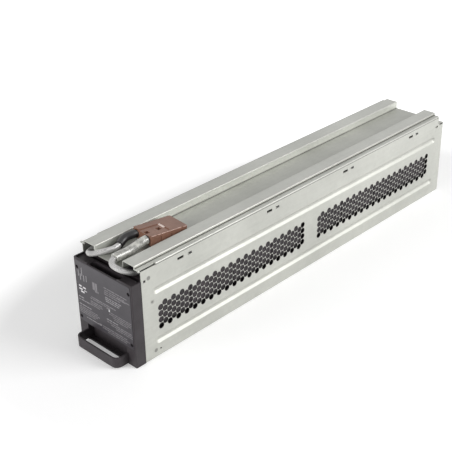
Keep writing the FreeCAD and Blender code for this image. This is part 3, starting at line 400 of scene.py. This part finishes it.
# the control points of each cord, in metres in the row frame
POSITIVE_ROUTE = [
    (0.0310, -0.2630, 0.1076), (0.0310, -0.2700, 0.1076), (0.0316, -0.2769, 0.1120),
    (0.0275, -0.2829, 0.1146), (0.0210, -0.2853, 0.1162), (0.0145, -0.2863, 0.1178),
    (0.0094, -0.2833, 0.1198), (0.0074, -0.2769, 0.1206), (0.0076, -0.2679, 0.1206),
    (0.0079, -0.2579, 0.1207), (0.0088, -0.2479, 0.1226), (0.0099, -0.2362, 0.1258),
    (0.0105, -0.2293, 0.1252)]
LOOSE_ROUTE = [
    (0.0076, -0.2775, 0.1206), (0.0076, -0.2679, 0.1206), (0.0079, -0.2579, 0.1207),
    (0.0088, -0.2479, 0.1226), (0.0098, -0.2362, 0.1257), (0.0101, -0.2328, 0.1258)]
NEGATIVE_ROUTE = [
    (-0.0330, -0.2609, 0.1162), (-0.0342, -0.2709, 0.1148), (-0.0346, -0.2794, 0.1132),
    (-0.0298, -0.2833, 0.1138), (-0.0220, -0.2809, 0.1162), (-0.0160, -0.2741, 0.1182),
    (-0.0116, -0.2659, 0.1188), (-0.0104, -0.2579, 0.1194), (-0.0132, -0.2494, 0.1212),
    (-0.0140, -0.2414, 0.1242), (-0.0100, -0.2345, 0.1258), (-0.0095, -0.2276, 0.1252)]
SHRINK_ROUTE = [
    (-0.0113, -0.2545, 0.1202), (-0.0132, -0.2494, 0.1212), (-0.0140, -0.2414, 0.1242),
    (-0.0102, -0.2345, 0.1258), (-0.0099, -0.2312, 0.1257)]
RETURN_ROUTE = [
    (-0.03111, -0.24512, 0.1184), (-0.02922, -0.22938, 0.12061), (-0.0334, -0.20685, 0.1188),
    (-0.0328, -0.18085, 0.1186), (-0.0330, -0.14085, 0.1186), (-0.0336, -0.09285, 0.1186),
    (-0.0330, -0.04485, 0.1186), (-0.0336, 0.00315, 0.1186), (-0.0330, 0.05115, 0.1186),
    (-0.0336, 0.09915, 0.1186), (-0.0330, 0.14715, 0.1186), (-0.0336, 0.19515, 0.1186),
    (-0.0326, 0.23315, 0.1170), (-0.0290, 0.25515, 0.1096), (-0.0160, 0.27695, 0.1096),
    (0.0080, 0.27895, 0.1076), (0.0265, 0.27895, 0.1076)]
LEAD_DIAMETER = 0.007
RETURN_DIAMETER = 0.006
SHRINK_DIAMETER = 0.0097
LOOSE_DIAMETER = 0.011

positive = cord_curve("positive_sleeved_lead", POSITIVE_ROUTE, LEAD_DIAMETER, SLEEVE)
negative = cord_curve("negative_sleeved_lead", NEGATIVE_ROUTE, LEAD_DIAMETER, SLEEVE)
back_cable = cord_curve("return_cable_run", RETURN_ROUTE, RETURN_DIAMETER, CABLE)
shrink = cord_curve("black_shrink_sleeve", SHRINK_ROUTE, SHRINK_DIAMETER, SHRINK)
loose = cord_curve("loose_sleeve_run", LOOSE_ROUTE, LOOSE_DIAMETER, LOOSE)
for cord, node, slot in ((shrink, "negative_heat_shrink", "heat_shrink"),
                         (loose, "positive_sleeve", "loose_sleeve"),
                         (positive, "positive_lead", "lead_sleeve"),
                         (negative, "negative_lead", "lead_sleeve"),
                         (back_cable, "return_cable", "cable_insulation")):
    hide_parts(node)

CONNECTOR_SPOT = place(0.3, 59.9, 119.4)
CONNECTOR_SWING, CONNECTOR_TIP = math.radians(-4.85), math.radians(-5.0)
CONNECTOR_TURN = Matrix.Rotation(CONNECTOR_SWING, 4, "Z") @ Matrix.Rotation(CONNECTOR_TIP, 4, "X")
# in millimetres on the housing: the ramp's two sides across it, and its outline along and up
RAMP_SIDES = (-5.7, 4.6)
RAMP_PROFILE = ((26.7, 11.05), (26.9, 11.35), (28.1, 11.92), (28.9, 11.95), (28.9, 11.05))
RIM_SIDE, RIM_TOP, RIM_ENDS = 16.78, 12.03, (0.7, 51.3)
RIM_WIDTH, RIM_SHARES = 0.5, (0.7, 1.0)
RIM_LENGTHS, RIM_BREAKS = (4, 13), (0.5, 2.2)


def on_connector(across, along, up):
    """A point in millimetres on the tilted housing, as a point of the row frame."""
    return CONNECTOR_SPOT + CONNECTOR_TURN @ Vector((across * MM, along * MM, up * MM))


def make_ramp():
    """The small latch ramp that stands in the recess of the connector's top, painted pale as a painted
    highlight.
    """
    solid = bmesh.new()
    sides = [[solid.verts.new(on_connector(across, along, up)) for along, up in RAMP_PROFILE]
             for across in RAMP_SIDES]
    solid.faces.new(sides[0])
    solid.faces.new(sides[1][::-1])
    near, far = [side + side[:1] for side in sides]
    strip(solid, near, far, False)
    bmesh.ops.recalc_face_normals(solid, faces=solid.faces)
    return mesh_piece("connector_ramp", solid, "connector_plastic", LATCH_HIGHLIGHT)


def make_painted_rim_highlights():
    """Painted highlights: paler stretches along both top edges of the housing."""
    rim = bmesh.new()
    for side in (1, -1):
        at = RIM_ENDS[0]
        while at < RIM_ENDS[1]:
            end = min(at + random.uniform(*RIM_LENGTHS), RIM_ENDS[1])
            width = RIM_WIDTH * random.uniform(*RIM_SHARES)
            outer, inner = (RIM_SIDE, RIM_TOP - width), (RIM_SIDE - width, RIM_TOP)
            panel(rim, [on_connector(side * across, along, up) for (across, up), along in
                        ((outer, at), (outer, end), (inner, end), (inner, at))], side > 0)
            at = end + random.uniform(*RIM_BREAKS)
    return mesh_piece("painted_connector_rim_highlights", rim, "connector_plastic", HOUSING_EDGE_HIGHLIGHT)


make_ramp()
make_painted_rim_highlights()


# ---------------------------------------------------------------- carried-over parts

JOIN_WITHIN, FLAT_WITHIN = 1e-6, 1.0        # metres, and degrees between facets taken as one
SHARP_FROM = 30                             # degrees


def soften(piece, width, segments=2):
    """Merges flat facets and rounds the sharp edges, as a real fold or moulding has them."""
    joined = piece.modifiers.new("joined_facets", "WELD")
    joined.merge_threshold = JOIN_WITHIN
    flat = piece.modifiers.new("flat_facets", "DECIMATE")
    flat.decimate_type = "DISSOLVE"
    flat.angle_limit = math.radians(FLAT_WITHIN)
    rounded = piece.modifiers.new("rounded_edges", "BEVEL")
    rounded.width = width
    rounded.segments = segments
    rounded.limit_method = "ANGLE"
    rounded.angle_limit = math.radians(SHARP_FROM)
    rounded.use_clamp_overlap = True
    rounded.harden_normals = True


def paint(node, material):
    """Gives a piece carried over from the source its material."""
    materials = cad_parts[node].data.materials
    materials.clear()
    materials.append(material)


NODE_MATERIALS = {
    "top_cover": COVER_STEEL, "front_bezel": BEZEL, "bezel_screws": SCREW_AND_GAP_SHADE, "front_label": LABEL,
    "terminal_blades": TIN, "base_liner": LINER, "front_foam_pad": FOAM, "rear_foam_pad": FOAM,
    "top_foam_strip": FOAM, "return_splice": SHRINK,
    "positive_boot": BOOT, "return_boot": BOOT, "connector_housing": HOUSING,
    "contact_negative": SILVER, "contact_positive": SILVER, "connector_springs": SPRING}
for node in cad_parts:
    if node.startswith("battery_"):
        paint(node, CASE)
    elif node.startswith("series_link_"):
        paint(node, STRAP)
    elif node in NODE_MATERIALS:
        paint(node, NODE_MATERIALS[node])

COVER_EDGE, BEZEL_EDGE, TRAY_EDGE = 0.00045, 0.0005, 0.0003     # radii of the sharp edges, in metres
soften(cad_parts["top_cover"], COVER_EDGE, 3)
soften(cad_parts["front_bezel"], BEZEL_EDGE)


# ---------------------------------------------------------------- perforated tray

# in millimetres: each field's columns and rows of holes, its middle front hole, and the flat round it
COLUMNS, ROWS = 38, 4
COLUMN_PITCH, ROW_PITCH = 6.61, 8.13
HOLE_RADIUS, HOLE_LIP = 3.74, 0.08
FIELD_BOTTOM = 38.4
FIELD_STARTS = (39.6, 317.4)
FIELD_MARGIN = 6.6
FIELD_LOW = FIELD_BOTTOM - FIELD_MARGIN
FIELD_HIGH = FIELD_BOTTOM + (ROWS - 0.5) * ROW_PITCH + FIELD_MARGIN
SHEET = 1.0
BODY_HALF = 49.15
SIDE_FROM = BODY_HALF - 1.5 * SHEET         # the tray's sides lie farther out than this
CELL_STEPS = 4                              # points along each of a cell's six sides
CLOSE_POINTS = 0.00002                      # metres within which neighbouring cells' points join
FACES_SIDEWAYS, CUT_WITHIN = 0.99, 1e-7     # least share of a side's normal, and metres
HOLE_SHADE_INDEX, PIERCED_WEB = 1, 2            # which of the perforation's materials


def field_ends(start):
    return start - FIELD_MARGIN, start + (COLUMNS - 1) * COLUMN_PITCH + FIELD_MARGIN


def in_field(spot, low, high):
    return low * MM < spot.y - ROW_SHIFT < high * MM and FIELD_LOW * MM < spot.z < FIELD_HIGH * MM


def cell_rim():
    """Points round the six-sided cell of one hole, shared with its neighbours."""
    half_row = ROW_PITCH / 2
    inner = (COLUMN_PITCH ** 2 - half_row ** 2) / (2 * COLUMN_PITCH)
    outer = COLUMN_PITCH - inner
    corners = [(outer, 0), (inner, half_row), (-inner, half_row),
               (-outer, 0), (-inner, -half_row), (inner, -half_row)]
    rim = []
    for (y0, z0), (y1, z1) in zip(corners, corners[1:] + corners[:1]):
        rim += [(y0 + (y1 - y0) * step / CELL_STEPS, z0 + (z1 - z0) * step / CELL_STEPS)
                for step in range(CELL_STEPS)]
    return rim


def punch_hole(mesh, rim, middle, height, face_x, side):
    """One cell of the field: flat web, small rolled lip and the hole's wall, out to in; the lip and the wall
    are painted nearly black, as painted shade.
    """
    def ring(depth, radius=None):
        x = face_x - side * depth
        points = []
        for y, z in rim:
            share = radius / math.hypot(y, z) if radius else 1
            points.append(mesh.verts.new(place(x, middle + share * y, height + share * z)))
        return points + points[:1]

    rings = [ring(0), ring(0, HOLE_RADIUS + HOLE_LIP),
             ring(0.3 * HOLE_LIP, HOLE_RADIUS + 0.3 * HOLE_LIP),
             ring(HOLE_LIP, HOLE_RADIUS), ring(SHEET, HOLE_RADIUS), ring(SHEET)]
    for level, (outer_ring, inner_ring) in enumerate(zip(rings, rings[1:])):
        for face in strip(mesh, outer_ring, inner_ring, side > 0):
            face.material_index = HOLE_SHADE_INDEX if level else PIERCED_WEB


def fill_border(mesh, face_x, x, side, low, high):
    """The flat sheet between the outermost cells and the field's straight edges, on the face at x."""
    corners = [mesh.verts.new(place(x, y, z)) for y, z in
               ((low, FIELD_LOW), (high, FIELD_LOW), (high, FIELD_HIGH), (low, FIELD_HIGH))]
    edges = [mesh.edges.new((corners[i], corners[(i + 1) % 4])) for i in range(4)]
    edges += [edge for edge in mesh.edges if edge.is_boundary and
              all(abs(vert.co.x - x * MM) < JOIN_WITHIN and in_field(vert.co, low, high)
                  for vert in edge.verts)]
    filled = bmesh.ops.triangle_fill(mesh, edges=edges, use_beauty=True)
    outward = 1 if x == face_x else -1
    for face in filled["geom"]:
        if isinstance(face, bmesh.types.BMFace) and face.normal.x * side * outward < 0:
            face.normal_flip()


def perforate(mesh, face_x, side):
    """Both fields of punched round holes on the face at face_x."""
    rim = cell_rim()
    for start in FIELD_STARTS:
        before = set(mesh.verts)
        for column in range(COLUMNS):
            for row in range(ROWS):
                height = FIELD_BOTTOM + (column % 2) * ROW_PITCH / 2 + row * ROW_PITCH
                punch_hole(mesh, rim, start + column * COLUMN_PITCH, height, face_x, side)
        made = [vert for vert in mesh.verts if vert not in before]
        bmesh.ops.remove_doubles(mesh, verts=made, dist=CLOSE_POINTS)
        for x in (face_x, face_x - side * SHEET):
            fill_border(mesh, face_x, x, side, *field_ends(start))


def open_fields(source):
    """Cuts the flat fields out of both sides of the tray, to make room for the perforated ones."""
    for start in FIELD_STARTS:
        low, high = field_ends(start)
        for spot, normal in ((place(0, low, 0), (0, 1, 0)), (place(0, high, 0), (0, 1, 0)),
                             (place(0, 0, FIELD_LOW), (0, 0, 1)), (place(0, 0, FIELD_HIGH), (0, 0, 1))):
            wall = [face for face in source.faces
                    if face.calc_center_median().x < -SIDE_FROM * MM and abs(face.normal.x) > FACES_SIDEWAYS]
            near = set(wall)
            for face in wall:
                near.update(face.edges)
                near.update(face.verts)
            bmesh.ops.bisect_plane(source, geom=list(near), plane_co=spot, plane_no=normal,
                                   dist=CUT_WITHIN)
        doomed = []
        for face in source.faces:
            centre = face.calc_center_median()
            if abs(centre.x) > SIDE_FROM * MM and in_field(centre, low, high):
                doomed.append(face)
        bmesh.ops.delete(source, geom=doomed, context="FACES")


def make_tray():
    """The folded tray without its flat fields, and the perforated fields that fill them."""
    source = bmesh.new()
    source.from_mesh(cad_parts["tray"].data)
    bmesh.ops.remove_doubles(source, verts=source.verts, dist=JOIN_WITHIN)
    open_fields(source)
    tray = mesh_piece("folded_tray", source, "tray_steel", SIDE_STEEL)
    soften(tray, TRAY_EDGE)
    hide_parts("tray")
    for label, side in (("right", 1), ("left", -1)):
        built = bmesh.new()
        perforate(built, side * BODY_HALF, side)
        field = mesh_piece(label + "_perforation", built, "tray_steel", SIDE_STEEL, HOLE_SHADE, WEB)
        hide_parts("tray")


make_tray()


# ---------------------------------------------------------------- small marks of painted shade on the sides

# in millimetres: y, z and radius of each dimple's painted shade, and y and z of each tab's gap
DIMPLE_SHADE_SPOTS = ((24.6, 107.0, 2.6), (28.0, 75.0, 1.3), (29.4, 9.6, 2.4))
SLOT_SPOTS = [(88.9 + 148.3 * step, 111.9) for step in range(4)]
SLOT_HALF_LENGTH, SLOT_HALF_HEIGHT, SLOT_DEPTH = 2.1, 1.5, 0.1
MARK_LIFT, MARK_POINTS = 0.04, 24


def make_marks():
    """Painted shade: darker discs on the dimples, and a dark plate in the gap behind each small tab."""
    spots, gaps = bmesh.new(), bmesh.new()
    for side in (1, -1):
        for y, z, radius in DIMPLE_SHADE_SPOTS:
            turns = [step * 2 * math.pi / MARK_POINTS for step in range(MARK_POINTS)]
            panel(spots, [place(side * (BODY_HALF + MARK_LIFT), y + radius * math.cos(turn),
                                z + radius * math.sin(turn)) for turn in turns], side > 0)
        for y, z in SLOT_SPOTS:
            panel(gaps, [place(side * (BODY_HALF - SLOT_DEPTH), y + along * SLOT_HALF_LENGTH,
                               z + up * SLOT_HALF_HEIGHT)
                         for along, up in ((-1, -1), (1, -1), (1, 1), (-1, 1))], side > 0)
    mesh_piece("painted_dimple_shade_discs", spots, "tray_steel", DIMPLE_SHADE)
    mesh_piece("painted_slot_gap_shade", gaps, "tray_steel", SCREW_AND_GAP_SHADE)


make_marks()


# ---------------------------------------------------------------- painted shade in the seams

# in millimetres: distance from the middle, front and rear ends, bottom and top of each line,
# and whether it faces outward
SEAMS = ((49.17, 36.2, 586, 118.8, 119.4, True), (42.25, 12, 586, 121.3, 122.3, True),
         (23.35, 12, 586, 114.6, 115.1, False))
SEAM_STEPS, SEAM_UNEVEN = 24, 0.15


def make_painted_seam_shade():
    """Thin dark lines of painted shade under the cover's lip and along the feet of its rails."""
    lines = bmesh.new()
    for side in (1, -1):
        for x, front, rear, low, high, outward in SEAMS:
            along = [front + (rear - front) * step / SEAM_STEPS for step in range(SEAM_STEPS + 1)]
            foot = [lines.verts.new(place(side * x, y, low)) for y in along]
            head = [lines.verts.new(place(side * x, y, high - random.uniform(0, SEAM_UNEVEN)))
                    for y in along]
            strip(lines, foot, head, (side > 0) == outward)
    mesh_piece("painted_seam_shade", lines, "cover_steel", SEAM_SHADE)


make_painted_seam_shade()


# ---------------------------------------------------------------- painted fold highlights

# in millimetres and degrees: middle of each fold's arc, its front end, and where on the arc the highlight is
# painted
FOLDS = ((24.6, 123.6, 13.2, 105, 165), (41.0, 123.6, 13.2, 15, 75), (47.95, 120.1, 36.4, 20, 55))
FOLD_RADIUS, FOLD_REAR, FOLD_STEPS = 1.23, 586, 6


def make_painted_fold_highlights():
    """The painted highlight: a bright line along each long fold of the cover."""
    folds = bmesh.new()
    for side in (1, -1):
        for x, z, front, first, last in FOLDS:
            lines = []
            for step in range(FOLD_STEPS + 1):
                turn = math.radians(first + (last - first) * step / FOLD_STEPS)
                across, up = side * (x + FOLD_RADIUS * math.cos(turn)), z + FOLD_RADIUS * math.sin(turn)
                lines.append([folds.verts.new(place(across, y, up)) for y in (front, FOLD_REAR)])
            for low, high in zip(lines, lines[1:]):
                for face in strip(folds, low, high, side > 0):
                    face.smooth = True
    mesh_piece("painted_fold_highlights", folds, "cover_steel", FOLD_HIGHLIGHT)


make_painted_fold_highlights()


# ---------------------------------------------------------------- label print

# in millimetres: left, right, bottom and top of each row of printing on the label
PLAIN_ROWS = [
    (-18, -10, 76, 86), (-14, -8, 74, 76.5), (2, 40, 86.4, 87.6), (3, 36, 83.6, 84.6), (2, 38, 81, 82),
    (2, 30, 78.4, 79.4), (24, 46, 82, 83), (-22, 20, 64, 65.2), (-24, 10, 61.8, 62.8),
    (-24, -4, 57.8, 58.8), (-24, -2, 55.4, 56.4), (-40, -8, 53, 54),
    (10, 47, 56.8, 57.8), (8, 45, 54.4, 55.4), (14, 47, 52, 53), (16, 40, 49.6, 50.6),
    (4, 10, 60.2, 61.4), (-48, -12, 42.4, 43.6), (-48, -10, 40, 41.2),
    (-48, -14, 37.6, 38.8), (-46, -18, 35.2, 36.2),
    (3, 47, 42.6, 43.8), (10, 47, 40.2, 41.4), (18, 47, 37.8, 38.8), (-12, 36, 32.4, 33.6),
    (-6, 40, 29.8, 31), (3, 36, 27.4, 28.4)]
CLEAR_ROWS = [
    (-42.4, -41.2, 84, 92), (-39.4, -38.2, 80, 88), (-36.4, -35.4, 86, 97), (-33.4, -32.4, 80, 88),
    (-29, -28, 81, 89), (-47, -36, 55.6, 57), (-47, -26, 52.2, 53.2), (-48, -24, 45.8, 47),
    (3, 30, 74.6, 75.6), (3, 28, 72.2, 73.2), (4, 26, 69.8, 70.8), (3, 22, 45.6, 46.8),
    (-34, -8, 31.2, 32.2)]
BRIGHT_ROWS = [
    (-43, -38.5, 70.5, 72.5), (-43, -37, 66.5, 68.5), (-40, -34, 63.5, 65.5),
    (-36, -30, 70, 72), (-34, -29.5, 66.5, 68), (7.5, 9.4, 57.6, 60.6)]
PRINT_LIFT = 0.06
# in metres: the label's bare edge, and the widths of a block and of the gap after it
LABEL_EDGE = 0.0008
BLOCK_WIDTHS, THINNEST_BLOCK = (0.0022, 0.0075), 0.0009
BLOCK_GAPS = (0.0006, 0.0011)


def print_rows(name, rows, material):
    """Plain blocks where the label has rows of printing: no letters, marks or symbols."""
    label_low, label_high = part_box("front_label")
    blocks = bmesh.new()
    y = label_low[1] - PRINT_LIFT * MM
    for x0, x1, z0, z1 in rows:
        at = max(x0 * MM, label_low[0] + LABEL_EDGE)
        end = min(x1 * MM, label_high[0] - LABEL_EDGE)
        while at < end:
            width = min(random.uniform(*BLOCK_WIDTHS), end - at)
            if width > THINNEST_BLOCK:
                panel(blocks, [(x, y, z) for x, z in ((at, z0 * MM), (at + width, z0 * MM),
                                                      (at + width, z1 * MM), (at, z1 * MM))], True)
            at += width + random.uniform(*BLOCK_GAPS)
    mesh_piece(name, blocks, "label_film", material)


print_rows("label_print", PLAIN_ROWS, PRINT)
print_rows("label_print_clear", CLEAR_ROWS, PRINT_CLEAR)
print_rows("label_print_bright", BRIGHT_ROWS, PRINT_BRIGHT)


# ---------------------------------------------------------------- room

GLOW_NEAR, GLOW_FAR = 0.08, 0.85            # how much of the floor is plain white, near and far
WHITE_NEAR, WHITE_FAR = 3.6, 1.3            # and how strong that white is
SHADOW_REACH, WHITE_REACH = 0.42, 1.1       # metres from the object's middle, along the shape below
SHADOW_SHAPE = (1.9, 1.0, 1.0)
FLOOR_REACH, FLOOR_DROP = 12, 0.0002        # metres
SEEN_WHITE, AMBIENT = 1.05, 0.33


def seen_or_mirrored(tree):
    """1 for what the camera sees and for what gloss shows, 0 for the light that falls on things."""
    path = tree.nodes.new("ShaderNodeLightPath")
    seen = tree.nodes.new("ShaderNodeMath")
    seen.operation = "MAXIMUM"
    tree.links.new(path.outputs["Is Camera Ray"], seen.inputs[0])
    tree.links.new(path.outputs["Is Glossy Ray"], seen.inputs[1])
    return seen.outputs[0]


def floor_material():
    """A pale floor that keeps a soft shadow by the object and runs into the white surround."""
    shader = Shader("pale_floor", (0.86, 0.86, 0.86), 0.9)
    tree = shader.tree
    glow = tree.nodes.new("ShaderNodeEmission")
    blend = tree.nodes.new("ShaderNodeMixShader")
    distance = tree.nodes.new("ShaderNodeVectorMath")
    distance.operation = "LENGTH"

    def by_distance(near, far):
        fade = tree.nodes.new("ShaderNodeMapRange")
        fade.inputs["From Min"].default_value = SHADOW_REACH
        fade.inputs["From Max"].default_value = WHITE_REACH
        fade.inputs["To Min"].default_value = near
        fade.inputs["To Max"].default_value = far
        tree.links.new(distance.outputs["Value"], fade.inputs["Value"])
        return fade.outputs["Result"]

    share = tree.nodes.new("ShaderNodeMath")
    share.operation = "MULTIPLY"
    tree.links.new(shader.stretched(SHADOW_SHAPE), distance.inputs[0])
    tree.links.new(by_distance(WHITE_NEAR, WHITE_FAR), glow.inputs["Strength"])
    tree.links.new(seen_or_mirrored(tree), share.inputs[0])
    tree.links.new(by_distance(GLOW_NEAR, GLOW_FAR), share.inputs[1])
    tree.links.new(share.outputs[0], blend.inputs["Fac"])
    tree.links.new(shader.shader.outputs["BSDF"], blend.inputs[1])
    tree.links.new(glow.outputs["Emission"], blend.inputs[2])
    tree.links.new(blend.outputs["Shader"], tree.nodes["Material Output"].inputs["Surface"])
    return shader.material


floor_mesh = bpy.data.meshes.new("floor")
floor_mesh.from_pydata([(x * FLOOR_REACH, y * FLOOR_REACH, 0)
                        for x, y in ((-1, -1), (1, -1), (1, 1), (-1, 1))], [], [(0, 1, 2, 3)])
floor_mesh.materials.append(floor_material())
floor = bpy.data.objects.new("floor", floor_mesh)
floor.location.z = cad_box[0].z - FLOOR_DROP
bpy.context.collection.objects.link(floor)


def studio_world():
    """A white surround to look at and to reflect, and a dimmer one that lights the object."""
    world = bpy.data.worlds.new("studio")
    world.use_nodes = True
    tree = world.node_tree
    strength = tree.nodes.new("ShaderNodeMapRange")
    strength.inputs["To Min"].default_value = AMBIENT
    strength.inputs["To Max"].default_value = SEEN_WHITE
    tree.links.new(seen_or_mirrored(tree), strength.inputs["Value"])
    tree.links.new(strength.outputs["Result"], tree.nodes["Background"].inputs["Strength"])
    tree.nodes["Background"].inputs["Color"].default_value = (1, 1, 1, 1)
    bpy.context.scene.world = world


studio_world()


def area_light(name, spot, target, size, power):
    """A rectangular lamp at spot that points at target; places and size in metres, power in watts."""
    data = bpy.data.lights.new(name, "AREA")
    data.shape = "RECTANGLE"
    data.size, data.size_y = size
    data.energy = power
    lamp = bpy.data.objects.new(name, data)
    lamp.location = spot
    lamp.rotation_mode = "QUATERNION"
    lamp.rotation_quaternion = (Vector(target) - Vector(spot)).to_track_quat("-Z", "Y")
    bpy.context.collection.objects.link(lamp)
    return lamp


area_light("right_key", (1.75, 0.95, 1.15), (0, 0, 0.06), (1.3, 1.3), 42)
fill = area_light("front_fill", (-0.35, -2.3, 0.8), (0, -0.3, 0.06), (1.5, 1.0), 34)
fill.visible_glossy = False                 # it only lifts the shade, and leaves no glare on the cover

bpy.context.scene.view_settings.view_transform = "Standard"
